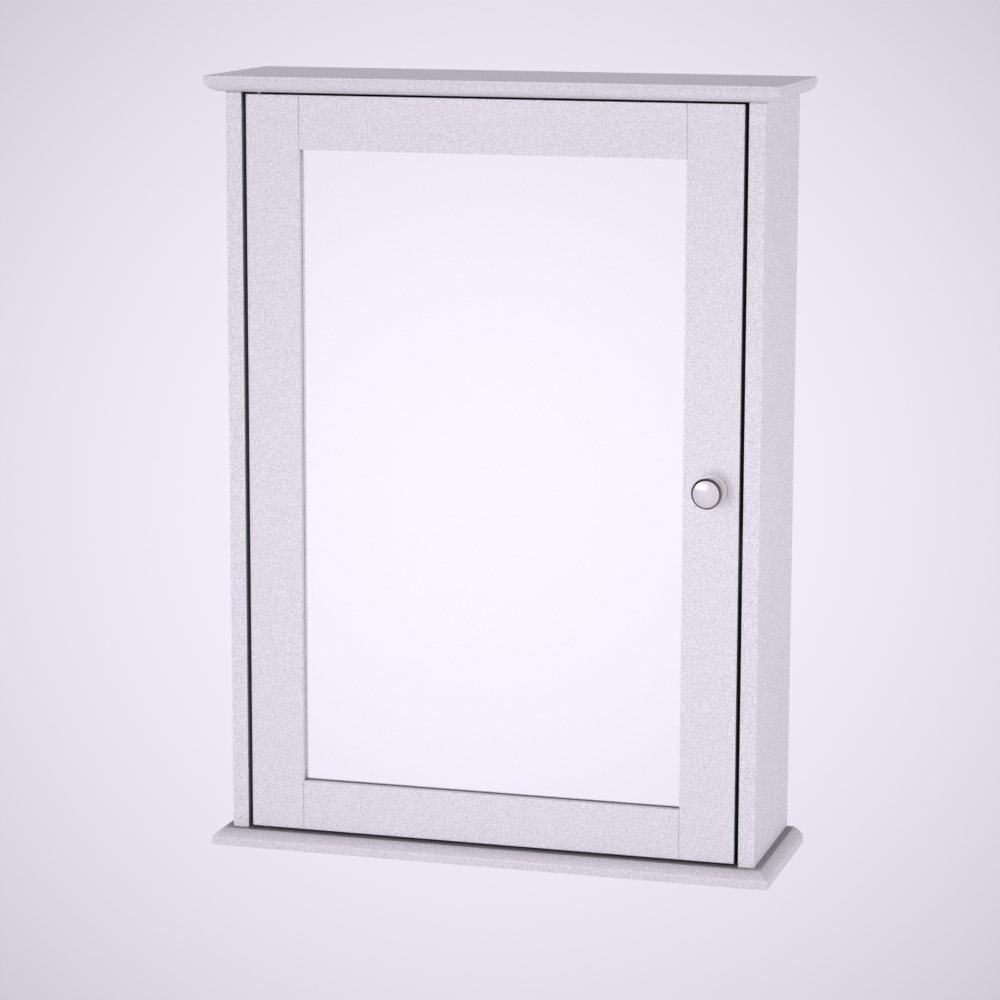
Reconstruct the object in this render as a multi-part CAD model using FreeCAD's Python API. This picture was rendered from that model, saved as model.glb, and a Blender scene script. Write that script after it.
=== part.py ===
import FreeCAD, Part
import math
import os

# Hanging wall cabinet with one framed mirror door.
#
# Millimetres. +X is to the right seen from the front, +Y goes into the wall, +Z is up.
# The origin is on the wall plane, midway between the two wall-fixing holes.
# Two bodies: the carcass, which hangs on the wall, and the door, which swings on two pivot
# pins at its left-hand edge. Every piece is a solid of its own, in a file of its own, and
# like fasteners share one file.

V = FreeCAD.Vector
X_AXIS = V(1, 0, 0)
Y_AXIS = V(0, 1, 0)
Z_AXIS = V(0, 0, 1)
SIDES = (-1, 1)

# ---- Carcass -------------------------------------------------------------------------------
CARCASS_WIDTH = 400.0       # over the two side panels
CARCASS_DEPTH = 120.0       # front edges of the side panels to the wall
CLEAR_HEIGHT = 551.0        # between the top board and the base board
BOARD = 12.0                # thickness of the boards, panels and shelves
OVERHANG = 12.5             # top and base boards stand out this far at the front and ends
ARRIS = 0.8                 # radius on exposed board edges
MOULDING_ARRIS = 0.5        # radius on the sharp edges of the mouldings
OVOLO_RISE = 8.5            # height of the quarter-ellipse under the top board's edge
BASE_FLAT = 5.4             # flat of the base board in front of the carcass
BASE_FALL = 6.3             # height of the sloping round on the base board's edge
BASE_BULGE = 0.6            # how far that round stands proud of a straight chamfer

# ---- Wall fixing ---------------------------------------------------------------------------
FIXING_DROP = 30.0          # fixing holes below the underside of the top board
FIXING_SPACING = 300.0      # between the two fixing holes
FIXING_RADIUS = 2.75        # clears a 5 mm wall screw
RAIL_THICKNESS = 12.0       # hanging rail
RAIL_HEIGHT = 60.0

# ---- Back panel ----------------------------------------------------------------------------
BACK_THICKNESS = 3.0
BACK_REBATE = 6.0           # how far the back panel laps onto each board
BACK_GAP = 0.25             # all round the back panel
PIN_RADIUS = 0.7            # panel pins
PIN_LENGTH = 15.0
PIN_HEAD_RADIUS = 1.5
PIN_HEAD_HEIGHT = 0.8
PIN_INSET = 3.0             # from the inner face of the board
PINS_UP = 5                 # on each side panel
PINS_ACROSS = 3             # on the top board and on the base board
PIN_SPAN_UP = 500.0         # lowest to highest pin
PIN_SPAN_ACROSS = 280.0

# ---- Carcass joints ------------------------------------------------------------------------
CAM_SETBACK = 24.0          # cam centre from the end of the side panel
CAM_RADIUS = 7.5
CAM_HEIGHT = 9.5
CAM_RECESS = 0.2            # cam face below the panel face
CAM_YS = (-92.0, -30.0)     # two cams at each corner
CAM_CAVITY_RADIUS = 3.8
CAM_CAVITY_PAST = 3.0       # the cavity goes this far past the cam's centre
CAM_SLOT = (6.0, 1.2, 1.4)  # screwdriver cross: length, width, depth
BOLT_THREAD = (2.5, 9.0)    # radius, length of each stretch of a cam bolt
BOLT_COLLAR = (3.4, 1.5)
BOLT_SHANK = (2.5, 15.5)
BOLT_NECK = (1.7, 5.5)
BOLT_HEAD = (3.2, 3.0)
BOLT_HOLE_RADIUS = 3.5
DOWEL_RADIUS = 3.0
DOWEL_CHAMFER = 0.6
CORNER_DOWEL_YS = (-74.0, -48.0)
CORNER_DOWEL = (16.0, 8.0)  # length in the side panel, length in the top or base board
RAIL_DOWEL_ZS = (-18.0, 18.0)
RAIL_DOWEL = (14.0, 8.0)    # length in the rail, length in the side panel
DOWEL_END_GAP = 0.5         # glue room at each end of a dowel

# ---- Shelves -------------------------------------------------------------------------------
SHELF_COUNT = 2
SHELF_DEPTH = 95.0
SHELF_SIDE_GAP = 0.5
SHELF_PIN_RADIUS = 2.5
SHELF_PIN_IN = 8.0          # length in the side panel
SHELF_PIN_OUT = 8.0         # length under the shelf
SHELF_PIN_COLLAR = (3.6, 1.0)
SHELF_PIN_YS = (-80.0, -24.0)
SHELF_HOLE_PITCH = 32.0     # spare holes above and below each shelf pin
SHELF_HOLE_DEPTH = 8.5

# ---- Door ----------------------------------------------------------------------------------
DOOR_SIDE_GAP = 3.0
DOOR_TOP_GAP = 1.5
DOOR_BASE_GAP = 2.0
DOOR_THICKNESS = 15.0
STILE_WIDTH = 41.0
TOP_RAIL_HEIGHT = 39.5
BASE_RAIL_HEIGHT = 37.0
V_JOINT = 0.5               # chamfer where stiles and rails meet, and around the mirror
HINGE_EDGE_RADIUS = 2.0     # rounds on the hinge edge, which let it turn beside the panel
FRAME_DOWEL = 15.0          # length in the stile, and in the rail
FRAME_DOWEL_FROM_EDGE = (8.0, 23.0)  # from the outer edge of the rail

LIP = 5.7                   # frame in front of the mirror
FRAME_REBATE = 7.0          # how far the recess for the mirror goes under the frame
STRIP_THICKNESS = 0.4       # front leg of the setting strip
STRIP_FOOT = 1.0            # the strip's foot lifts the mirror off the rail
STRIP_SHOWS = 1.0           # height of the strip above the bottom rail
MIRROR_THICKNESS = 3.0
MIRROR_SIDE_GAP = 1.0
PAD_THICKNESS = 1.3         # foam sheet behind the mirror

CLIP_LENGTH = 25.0          # turn clips that hold the back board
CLIP_WIDTH = 10.0
CLIP_THICKNESS = 1.0
CLIP_OUTSIDE = 6.0          # clip screw outside the recess
CLIP_SCREW_RADIUS = 1.5
CLIP_SCREW_LENGTH = 8.0
CLIP_HEAD = (3.0, 1.5)
CLIPS_UP = (4, 363.0)       # count and span on each stile
CLIPS_ACROSS = (2, 150.0)   # count and span on each rail

# ---- Pivot hinge ---------------------------------------------------------------------------
PIVOT_FROM_EDGE = 8.5       # pivot axis from the hinge edge of the door
PIVOT_BEHIND_FACE = 7.5     # pivot axis behind the front of the door
PIVOT_RADIUS = 2.0
PIVOT_IN_BOARD = 9.0        # pin in the top or base board
PIVOT_IN_DOOR = 8.0         # pin in the door's bush
PIVOT_DOME = 0.5            # height of the pin's domed end
PIVOT_CLEARANCE = 0.05      # radial, in the bush
PIVOT_END_CLEARANCE = 0.1   # domed end of the pin to the bottom of the bush
BUSH_RADIUS = 4.0
BUSH_WALL = 2.0             # closed end of the bush

# ---- Knob ----------------------------------------------------------------------------------
KNOB_X = 165.0
ROSE = (11.2, 2.2, 1.2)     # radius, height, radius on its front edge
NECK_FOOT_RADIUS = 6.5
NECK_WAIST = (4.8, 7.5)     # radius, height above the door
HEAD_RADIUS = 11.2
HEAD_UNDER = 15.6           # height above the door where the head's underside meets its rim
RIM_TOP = 17.6
FACE_RADIUS = 9.8           # domed face inside the rim
FACE_EDGE = 18.6            # height above the door of the dome's edge
FACE_TOP = 21.6             # height above the door of the dome's top
KNOB_SCREW_RADIUS = 2.0
KNOB_SCREW_IN_KNOB = 12.0
KNOB_SCREW_HEAD = (4.0, 2.4)

# ---- Magnetic catch ------------------------------------------------------------------------
CATCH_Z = -300.0
CATCH_BLOCK = (20.0, 22.0, 26.0)  # out from the panel, front to back, height
CATCH_EAR = (3.0, 10.0)     # thickness, height of each screw ear
CATCH_BACK_OFF = 0.8        # housing front behind the pole plates' front
CATCH_TOUCH = 0.1           # pole plates to strike plate
MAGNET = (9.0, 12.0, 16.0)
POLE_THICKNESS = 1.5
CATCH_SCREW = (1.5, 10.0)   # radius, length below the head
CATCH_HEAD = (2.9, 1.8)
STRIKE = (12.0, 1.2, 44.0)  # width, thickness, height
STRIKE_SCREW = (1.5, 9.0)
STRIKE_HEAD = (2.6, 1.1)
STRIKE_SCREW_FROM_END = 5.0

# ---- Levels and planes worked out from the sizes above -------------------------------------
HALF_WIDTH = CARCASS_WIDTH / 2
INNER_X = HALF_WIDTH - BOARD
FRONT_Y = -CARCASS_DEPTH
TOP_UNDER = FIXING_DROP
BASE_TOP = TOP_UNDER - CLEAR_HEIGHT
BASE_UNDER = BASE_TOP - BOARD
MIDDLE_Z = (TOP_UNDER + BASE_TOP) / 2

DOOR_X = INNER_X - DOOR_SIDE_GAP
DOOR_TOP = TOP_UNDER - DOOR_TOP_GAP
DOOR_BASE = BASE_TOP + DOOR_BASE_GAP
DOOR_BACK = FRONT_Y + DOOR_THICKNESS
OPENING_X = DOOR_X - STILE_WIDTH
OPENING_TOP = DOOR_TOP - TOP_RAIL_HEIGHT
OPENING_BASE = DOOR_BASE + BASE_RAIL_HEIGHT
RECESS_X = OPENING_X + FRAME_REBATE
RECESS_TOP = OPENING_TOP + FRAME_REBATE
RECESS_BASE = OPENING_BASE - FRAME_REBATE
RECESS_Y = FRONT_Y + LIP
MIRROR_Y = RECESS_Y + STRIP_THICKNESS
MIRROR_X = RECESS_X - MIRROR_SIDE_GAP
MIRROR_BASE = RECESS_BASE + STRIP_FOOT
MIRROR_TOP = RECESS_TOP - MIRROR_SIDE_GAP
PAD_Y = MIRROR_Y + MIRROR_THICKNESS
BACK_BOARD_Y = PAD_Y + PAD_THICKNESS

PIVOT_X = -DOOR_X + PIVOT_FROM_EDGE
PIVOT_Y = FRONT_Y + PIVOT_BEHIND_FACE
KNOB_Z = (DOOR_TOP + DOOR_BASE) / 2
BOARD_MIDDLE_X = INNER_X + BOARD / 2
SHELF_SPACE = (CLEAR_HEIGHT - SHELF_COUNT * BOARD) / (SHELF_COUNT + 1)
SHELF_FLOORS = [BASE_TOP + SHELF_SPACE + n * (SHELF_SPACE + BOARD) for n in range(SHELF_COUNT)]
TOLERANCE = 1e-6


# ---- Building blocks -----------------------------------------------------------------------

def box(x0, x1, y0, y1, z0, z1):
    """A block between two corners."""
    return Part.makeBox(x1 - x0, y1 - y0, z1 - z0, V(x0, y0, z0))


def rod(radius, length, start, direction):
    """A cylinder from its start point, along a direction."""
    return Part.makeCylinder(radius, length, start, direction)


def cut(solid, tools):
    """The solid less every tool."""
    return solid.cut(Part.makeCompound(list(tools)))


def mirrored(solid):
    """The same piece on the other side of the cabinet."""
    return solid.mirror(V(0, 0, 0), X_AXIS)


def edges_on(solid, **planes):
    """The edges that lie in every plane given, such as x=188."""
    found = []
    for edge in solid.Edges:
        b = edge.BoundBox
        span = {"x": (b.XMin, b.XMax), "y": (b.YMin, b.YMax), "z": (b.ZMin, b.ZMax)}
        off = [abs(end - planes[axis]) for axis in planes for end in span[axis]]
        if max(off) < TOLERANCE:
            found.append(edge)
    return found


def spread(count, span, centre=0.0):
    """Evenly spaced places over a span."""
    step = span / (count - 1)
    return [centre - span / 2 + step * n for n in range(count)]


def turned(outline, centre, direction):
    """A turned solid. The outline is edges in (radius, height) on the XZ plane, closed along
    the axis, and height runs along the direction from the centre."""
    wire = Part.Wire(Part.sortEdges(outline)[0])
    solid = Part.Face(wire).revolve(V(0, 0, 0), Z_AXIS, 360)
    solid.Placement = FreeCAD.Placement(centre, FreeCAD.Rotation(Z_AXIS, direction))
    return solid


def at(radius, height):
    """A point of a turned outline."""
    return V(radius, 0, height)


def chain(*points):
    """Straight edges from point to point."""
    return [Part.makeLine(a, b) for a, b in zip(points, points[1:])]


def round_corner(start, corner, end):
    """A quarter-round from start to end, tangent to both lines through the corner."""
    centre = start + end - corner
    middle = centre + (corner - centre).normalize() * (start - centre).Length
    return Part.Arc(start, middle, end).toShape()


def dome(radius, rim, top):
    """The outline of a spherical cap, from its rim to its top on the axis."""
    height = top - rim
    sphere = (radius ** 2 + height ** 2) / (2 * height)
    centre = top - sphere
    half_angle = math.asin(radius / abs(sphere)) / 2
    middle = at(abs(sphere) * math.sin(half_angle), centre + sphere * math.cos(half_angle))
    return Part.Arc(at(radius, rim), middle, at(0, top)).toShape()


def dowel(end_a, end_b):
    """A wooden dowel with chamfered ends."""
    axis = end_b - end_a
    solid = rod(DOWEL_RADIUS, axis.Length, end_a, axis)
    rims = [e for e in solid.Edges if isinstance(e.Curve, Part.Circle)]
    return solid.makeChamfer(DOWEL_CHAMFER, rims)


def headed_screw(shank, head, under_head, direction):
    """A screw: the shank runs along the direction from under the head, and the rounded head
    stands the other way. A cross recess is sunk in the head."""
    radius, length = shank
    head_radius, head_height = head
    rim = -head_height * 0.4
    tip = length - radius
    sides = chain(at(0, -head_height), at(0, length), at(radius * 0.3, length), at(radius, tip),
                  at(radius, 0), at(head_radius, 0), at(head_radius, rim))
    solid = turned([dome(head_radius, rim, -head_height)] + sides, under_head, direction)
    arm = head_radius * 0.55
    slot = head_radius * 0.12
    cross = box(-arm, arm, -slot, slot, -head_height, -head_height * 0.45)
    cross = cross.fuse(box(-slot, slot, -arm, arm, -head_height, -head_height * 0.45))
    cross.Placement = solid.Placement
    return solid.cut(cross)


# ---- Top and base boards -------------------------------------------------------------------

def ovolo_edge(place):
    """The top board's edge: a quarter-ellipse under a short upright face."""
    low = place(0, 0)
    high = place(OVERHANG, OVOLO_RISE)
    ellipse = Part.Ellipse(high, low, place(0, OVOLO_RISE))
    quarter = Part.ArcOfEllipse(ellipse, 0, math.pi / 2).toShape()
    corner = place(OVERHANG, BOARD)
    start = place(OVERHANG, BOARD - MOULDING_ARRIS)
    end = place(OVERHANG - MOULDING_ARRIS, BOARD)
    return [quarter, Part.makeLine(high, start), round_corner(start, corner, end)], low, end


def base_edge(place):
    """The base board's edge: an upright face under a sloping round."""
    low = place(OVERHANG - MOULDING_ARRIS, 0)
    start = place(OVERHANG, MOULDING_ARRIS)
    crease = place(OVERHANG, BOARD - BASE_FALL)
    high = place(BASE_FLAT, BOARD)
    run = OVERHANG - BASE_FLAT
    chord = math.hypot(run, BASE_FALL)
    middle = place(OVERHANG - run / 2 + BASE_BULGE * BASE_FALL / chord,
                   BOARD - BASE_FALL / 2 + BASE_BULGE * run / chord)
    slope = Part.Arc(crease, middle, high).toShape()
    return [round_corner(low, place(OVERHANG, 0), start), Part.makeLine(start, crease), slope], low, high


def moulded_board(edge, underside):
    """A board with one moulded edge on its front and both ends, mitred at the corners: the
    part common to a board moulded along its front and a board moulded at its ends."""
    reach = CARCASS_WIDTH
    front, low, high = edge(lambda out, up: V(-reach, FRONT_Y - out, underside + up))
    back_low = V(-reach, 0, underside)
    back_high = V(-reach, 0, underside + BOARD)
    front += chain(low, back_low, back_high, high)
    moulded_front = Part.Face(Part.Wire(Part.sortEdges(front)[0])).extrude(V(2 * reach, 0, 0))
    left, left_low, left_high = edge(lambda out, up: V(-HALF_WIDTH - out, -reach, underside + up))
    right, right_low, right_high = edge(lambda out, up: V(HALF_WIDTH + out, -reach, underside + up))
    ends = left + right + chain(left_low, right_low) + chain(left_high, right_high)
    moulded_ends = Part.Face(Part.Wire(Part.sortEdges(ends)[0])).extrude(V(0, 2 * reach, 0))
    return moulded_front.common(moulded_ends).removeSplitter()


def back_rebate():
    """The room that the back panel takes out of the four boards round it."""
    return box(-INNER_X - BACK_REBATE, INNER_X + BACK_REBATE, -BACK_THICKNESS, 0,
               BASE_TOP - BACK_REBATE, TOP_UNDER + BACK_REBATE)


def board_holes(face, inward):
    """Holes in the top or base board, from its face towards its middle: cam bolts, corner
    dowels and one pivot pin."""
    direction = Z_AXIS * inward
    holes = [rod(PIVOT_RADIUS, PIVOT_IN_BOARD, V(PIVOT_X, PIVOT_Y, face), direction)]
    for side in SIDES:
        x = side * BOARD_MIDDLE_X
        for y in CAM_YS:
            holes.append(rod(BOLT_THREAD[0], BOLT_THREAD[1], V(x, y, face), direction))
        for y in CORNER_DOWEL_YS:
            holes.append(rod(DOWEL_RADIUS, CORNER_DOWEL[1] + DOWEL_END_GAP, V(x, y, face), direction))
    return holes


def make_top_board():
    board = moulded_board(ovolo_edge, TOP_UNDER)
    return cut(board, board_holes(TOP_UNDER, 1) + [back_rebate()] + panel_pins())


def make_base_board():
    board = moulded_board(base_edge, BASE_UNDER)
    return cut(board, board_holes(BASE_TOP, -1) + [back_rebate()] + panel_pins())


# ---- Carcass fasteners ---------------------------------------------------------------------

def corner_ends():
    """The four ends of the side panels: x, end height, and the way into the panel."""
    return [(side * BOARD_MIDDLE_X, z, inward)
            for side in SIDES for z, inward in ((TOP_UNDER, -1), (BASE_TOP, 1))]


def cam_bolt(x, y, z, inward):
    """A cam bolt: thread in the board, then collar, shank, neck and head in the panel."""
    points = [at(0, -BOLT_THREAD[1]), at(BOLT_THREAD[0], -BOLT_THREAD[1]), at(BOLT_THREAD[0], 0)]
    height = 0.0
    for radius, length in (BOLT_COLLAR, BOLT_SHANK, BOLT_NECK, BOLT_HEAD):
        points += [at(radius, height), at(radius, height + length)]
        height += length
    points += [at(0, height), at(0, -BOLT_THREAD[1])]
    points = [p for p, q in zip(points, points[1:] + [None]) if q is None or (p - q).Length > TOLERANCE]
    return turned(chain(*points), V(x, y, z), Z_AXIS * inward)


def cam_lock(x, y, z, inward):
    """A cam: a disc with a cavity for the bolt's head and a cross in its face."""
    side = math.copysign(1, x)
    centre_z = z + inward * CAM_SETBACK
    face = V(side * (INNER_X + CAM_RECESS), y, centre_z)
    disc = rod(CAM_RADIUS, CAM_HEIGHT, face, X_AXIS * side)
    cavity = rod(CAM_CAVITY_RADIUS, CAM_RADIUS + CAM_CAVITY_PAST,
                 V(x, y, centre_z - inward * CAM_RADIUS), Z_AXIS * inward)
    length, width, depth = CAM_SLOT
    ends = sorted((face.x, face.x + side * depth))
    tools = [cavity]
    for half_y, half_z in ((length / 2, width / 2), (width / 2, length / 2)):
        tools.append(box(ends[0], ends[1], y - half_y, y + half_y, centre_z - half_z, centre_z + half_z))
    return cut(disc, tools)


def make_cam_bolts():
    return [cam_bolt(x, y, z, inward) for x, z, inward in corner_ends() for y in CAM_YS]


def make_cam_locks():
    return [cam_lock(x, y, z, inward) for x, z, inward in corner_ends() for y in CAM_YS]


def make_corner_dowels():
    in_panel, in_board = CORNER_DOWEL
    return [dowel(V(x, y, z - inward * in_board), V(x, y, z + inward * in_panel))
            for x, z, inward in corner_ends() for y in CORNER_DOWEL_YS]


def make_rail_dowels():
    in_rail, in_panel = RAIL_DOWEL
    y = -BACK_THICKNESS - RAIL_THICKNESS / 2
    return [dowel(V(side * (INNER_X - in_rail), y, z), V(side * (INNER_X + in_panel), y, z))
            for side in SIDES for z in RAIL_DOWEL_ZS]


def panel_pins():
    """Pins round the back panel, their heads flush with its outer face."""
    edge_x = INNER_X + PIN_INSET
    places = [(side * edge_x, z) for side in SIDES for z in spread(PINS_UP, PIN_SPAN_UP, MIDDLE_Z)]
    for z in (TOP_UNDER + PIN_INSET, BASE_TOP - PIN_INSET):
        places += [(x, z) for x in spread(PINS_ACROSS, PIN_SPAN_ACROSS)]
    outline = chain(at(0, 0), at(PIN_HEAD_RADIUS, 0), at(PIN_HEAD_RADIUS, PIN_HEAD_HEIGHT),
                    at(PIN_RADIUS, PIN_HEAD_HEIGHT), at(PIN_RADIUS, PIN_LENGTH - PIN_RADIUS * 2),
                    at(0, PIN_LENGTH), at(0, 0))
    return [turned(outline, V(x, 0, z), -Y_AXIS) for x, z in places]


# ---- Side panels, back panel, hanging rail and shelves -------------------------------------

def catch_screws(shank):
    """The two screws that hold the catch on the right side panel."""
    x = INNER_X - CATCH_EAR[0]
    offset = (CATCH_BLOCK[2] + CATCH_EAR[1]) / 2
    y = catch_front() + CATCH_BACK_OFF + CATCH_BLOCK[1] / 2
    return [headed_screw(shank, CATCH_HEAD, V(x, y, CATCH_Z + s * offset), X_AXIS) for s in SIDES]


def make_side_panel():
    """The right side panel, without the holes for the catch."""
    panel = box(INNER_X, HALF_WIDTH, FRONT_Y, 0, BASE_TOP, TOP_UNDER)
    front_edges = edges_on(panel, x=INNER_X, y=FRONT_Y) + edges_on(panel, x=HALF_WIDTH, y=FRONT_Y)
    panel = panel.makeFillet(ARRIS, front_edges)
    tools = [back_rebate()] + panel_pins()
    for x, z, inward in corner_ends():
        if x < 0:
            continue
        direction = Z_AXIS * inward
        for y in CAM_YS:
            tools.append(rod(BOLT_HOLE_RADIUS, CAM_SETBACK, V(x, y, z), direction))
            tools.append(rod(CAM_RADIUS, CAM_HEIGHT + CAM_RECESS,
                             V(INNER_X, y, z + inward * CAM_SETBACK), X_AXIS))
        for y in CORNER_DOWEL_YS:
            tools.append(rod(DOWEL_RADIUS, CORNER_DOWEL[0] + DOWEL_END_GAP, V(x, y, z), direction))
    for z in RAIL_DOWEL_ZS:
        y = -BACK_THICKNESS - RAIL_THICKNESS / 2
        tools.append(rod(DOWEL_RADIUS, RAIL_DOWEL[1] + DOWEL_END_GAP, V(INNER_X, y, z), X_AXIS))
    for floor in SHELF_FLOORS:
        for step in (-1, 0, 1):
            z = floor - SHELF_PIN_RADIUS + step * SHELF_HOLE_PITCH
            for y in SHELF_PIN_YS:
                tools.append(rod(SHELF_PIN_RADIUS, SHELF_HOLE_DEPTH, V(INNER_X, y, z), X_AXIS))
    return cut(panel, tools)


def make_back_panel():
    x = INNER_X + BACK_REBATE - BACK_GAP
    panel = box(-x, x, -BACK_THICKNESS, 0,
                BASE_TOP - BACK_REBATE + BACK_GAP, TOP_UNDER + BACK_REBATE - BACK_GAP)
    return cut(panel, fixing_holes() + panel_pins())


def fixing_holes():
    """Two holes through the back panel and the hanging rail."""
    depth = BACK_THICKNESS + RAIL_THICKNESS
    return [rod(FIXING_RADIUS, depth, V(x, 0, 0), -Y_AXIS) for x in spread(2, FIXING_SPACING)]


def make_hanging_rail():
    rail = box(-INNER_X, INNER_X, -BACK_THICKNESS - RAIL_THICKNESS, -BACK_THICKNESS,
               TOP_UNDER - RAIL_HEIGHT, TOP_UNDER)
    front = -BACK_THICKNESS - RAIL_THICKNESS
    rail = rail.makeFillet(ARRIS, edges_on(rail, y=front, z=TOP_UNDER - RAIL_HEIGHT))
    tools = fixing_holes()
    for side in SIDES:
        for z in RAIL_DOWEL_ZS:
            start = V(side * INNER_X, -BACK_THICKNESS - RAIL_THICKNESS / 2, z)
            tools.append(rod(DOWEL_RADIUS, RAIL_DOWEL[0] + DOWEL_END_GAP, start, -X_AXIS * side))
    return cut(rail, tools)


def make_shelf(floor):
    x = INNER_X - SHELF_SIDE_GAP
    front = -BACK_THICKNESS - SHELF_DEPTH
    shelf = box(-x, x, front, -BACK_THICKNESS, floor, floor + BOARD)
    return shelf.makeFillet(ARRIS, edges_on(shelf, y=front, z=floor) + edges_on(shelf, y=front, z=floor + BOARD))


def make_shelf_pins():
    """Steel pins with a collar, pushed into the side panels under the shelves."""
    radius, thickness = SHELF_PIN_COLLAR
    flat = 0.5
    pins = []
    for floor in SHELF_FLOORS:
        for side in SIDES:
            for y in SHELF_PIN_YS:
                face = V(side * INNER_X, y, floor - SHELF_PIN_RADIUS)
                out = -X_AXIS * side
                pin = rod(SHELF_PIN_RADIUS, SHELF_PIN_IN + SHELF_PIN_OUT, face - out * SHELF_PIN_IN, out)
                tips = [e for e in pin.Edges if isinstance(e.Curve, Part.Circle)]
                pin = pin.makeChamfer(flat, tips)
                collar = rod(radius, thickness, face, out)
                spare = box(-INNER_X, INNER_X, FRONT_Y, 0, floor, floor + BOARD)
                pins.append(pin.fuse(collar.cut(spare)).removeSplitter())
    return pins


# ---- Magnetic catch ------------------------------------------------------------------------

def catch_front():
    """The plane of the pole plates' front edges."""
    return DOOR_BACK + STRIKE[1] + CATCH_TOUCH


def catch_inside():
    """The magnet and the two pole plates, as blocks."""
    block_x, block_y, block_z = CATCH_BLOCK
    mag_x, mag_y, mag_z = MAGNET
    centre_x = INNER_X - block_x / 2
    front = catch_front()
    magnet = box(centre_x - mag_x / 2, centre_x + mag_x / 2, front + 2 * CATCH_BACK_OFF,
                 front + 2 * CATCH_BACK_OFF + mag_y, CATCH_Z - mag_z / 2, CATCH_Z + mag_z / 2)
    plates = []
    for side in SIDES:
        inner = centre_x + side * mag_x / 2
        x0, x1 = sorted((inner, inner + side * POLE_THICKNESS))
        plates.append(box(x0, x1, front, front + 2 * CATCH_BACK_OFF + mag_y,
                          CATCH_Z - mag_z / 2, CATCH_Z + mag_z / 2))
    return magnet, plates


def make_catch_housing():
    block_x, block_y, block_z = CATCH_BLOCK
    ear_x, ear_z = CATCH_EAR
    front = catch_front() + CATCH_BACK_OFF
    block = box(INNER_X - block_x, INNER_X, front, front + block_y,
                CATCH_Z - block_z / 2, CATCH_Z + block_z / 2)
    block = block.makeFillet(1.5, edges_on(block, x=INNER_X - block_x))
    half = block_z / 2 + ear_z
    ears = box(INNER_X - ear_x, INNER_X, front + 3, front + block_y - 3, CATCH_Z - half, CATCH_Z + half)
    magnet, plates = catch_inside()
    return cut(block.fuse(ears).removeSplitter(), [magnet] + plates + catch_screws(CATCH_SCREW))


# ---- Door frame ----------------------------------------------------------------------------

def mirror_recess():
    """The recess that the frame leaves behind its lip for the mirror and its backing."""
    return box(-RECESS_X, RECESS_X, RECESS_Y, DOOR_BACK, RECESS_BASE, RECESS_TOP)


def frame_dowel_heights():
    from_edge = FRAME_DOWEL_FROM_EDGE
    return [DOOR_TOP - d for d in from_edge] + [DOOR_BASE + d for d in from_edge]


def frame_dowel_holes():
    holes = []
    length = 2 * (FRAME_DOWEL + DOWEL_END_GAP)
    y = FRONT_Y + DOOR_THICKNESS / 2
    for side in SIDES:
        for z in frame_dowel_heights():
            holes.append(rod(DOWEL_RADIUS, length, V(side * OPENING_X - length / 2, y, z), X_AXIS))
    return holes


def make_frame_dowels():
    y = FRONT_Y + DOOR_THICKNESS / 2
    return [dowel(V(side * OPENING_X - FRAME_DOWEL, y, z), V(side * OPENING_X + FRAME_DOWEL, y, z))
            for side in SIDES for z in frame_dowel_heights()]


def make_stile(side):
    """The stile on one side: -1 is the hinge side, 1 the knob side."""
    outer = side * DOOR_X
    inner = side * OPENING_X
    x0, x1 = sorted((outer, inner))
    stile = box(x0, x1, FRONT_Y, DOOR_BACK, DOOR_BASE, DOOR_TOP)
    stile = stile.makeChamfer(V_JOINT, edges_on(stile, x=inner, y=FRONT_Y))
    outer_round = HINGE_EDGE_RADIUS if side < 0 else ARRIS
    upright = edges_on(stile, x=outer, y=FRONT_Y) + edges_on(stile, x=outer, y=DOOR_BACK)
    stile = stile.makeFillet(outer_round, upright)
    ends = [e for z in (DOOR_TOP, DOOR_BASE) for e in edges_on(stile, y=FRONT_Y, z=z)]
    stile = stile.makeFillet(ARRIS / 2, ends)
    tools = frame_dowel_holes() + [mirror_recess()] + clip_screws()
    if side < 0:
        tools += [bush_envelope(z, inward) for z, inward in pivot_ends()]
    else:
        reach = DOOR_THICKNESS + 1
        tools.append(rod(KNOB_SCREW_RADIUS + 0.25, reach, V(KNOB_X, DOOR_BACK, KNOB_Z), -Y_AXIS))
        tools += strike_screws()
    return cut(stile, tools)


def make_rail(z0, z1, opening_edge):
    """A rail between the stiles. The opening edge is the one beside the mirror."""
    rail = box(-OPENING_X, OPENING_X, FRONT_Y, DOOR_BACK, z0, z1)
    outer_edge = z1 if opening_edge == z0 else z0
    inner = edges_on(rail, y=FRONT_Y, z=opening_edge)
    inner += edges_on(rail, y=FRONT_Y, x=-OPENING_X) + edges_on(rail, y=FRONT_Y, x=OPENING_X)
    rail = rail.makeChamfer(V_JOINT, inner)
    rail = rail.makeFillet(ARRIS / 2, edges_on(rail, y=FRONT_Y, z=outer_edge))
    return cut(rail, frame_dowel_holes() + [mirror_recess()] + clip_screws())


# ---- Mirror and its backing ----------------------------------------------------------------

def make_mirror_glass():
    glass = box(-MIRROR_X, MIRROR_X, MIRROR_Y, PAD_Y, MIRROR_BASE, MIRROR_TOP)
    return glass.makeChamfer(0.3, edges_on(glass, y=MIRROR_Y))


def make_setting_strip():
    """An L-shaped strip under the mirror's bottom edge, with its leg in front of the glass."""
    leg = box(-MIRROR_X, MIRROR_X, RECESS_Y, MIRROR_Y, RECESS_BASE, OPENING_BASE + STRIP_SHOWS)
    foot = box(-MIRROR_X, MIRROR_X, RECESS_Y, PAD_Y, RECESS_BASE, MIRROR_BASE)
    return leg.fuse(foot).removeSplitter()


def make_mirror_pad():
    return box(-MIRROR_X, MIRROR_X, PAD_Y, BACK_BOARD_Y, MIRROR_BASE, MIRROR_TOP)


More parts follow.
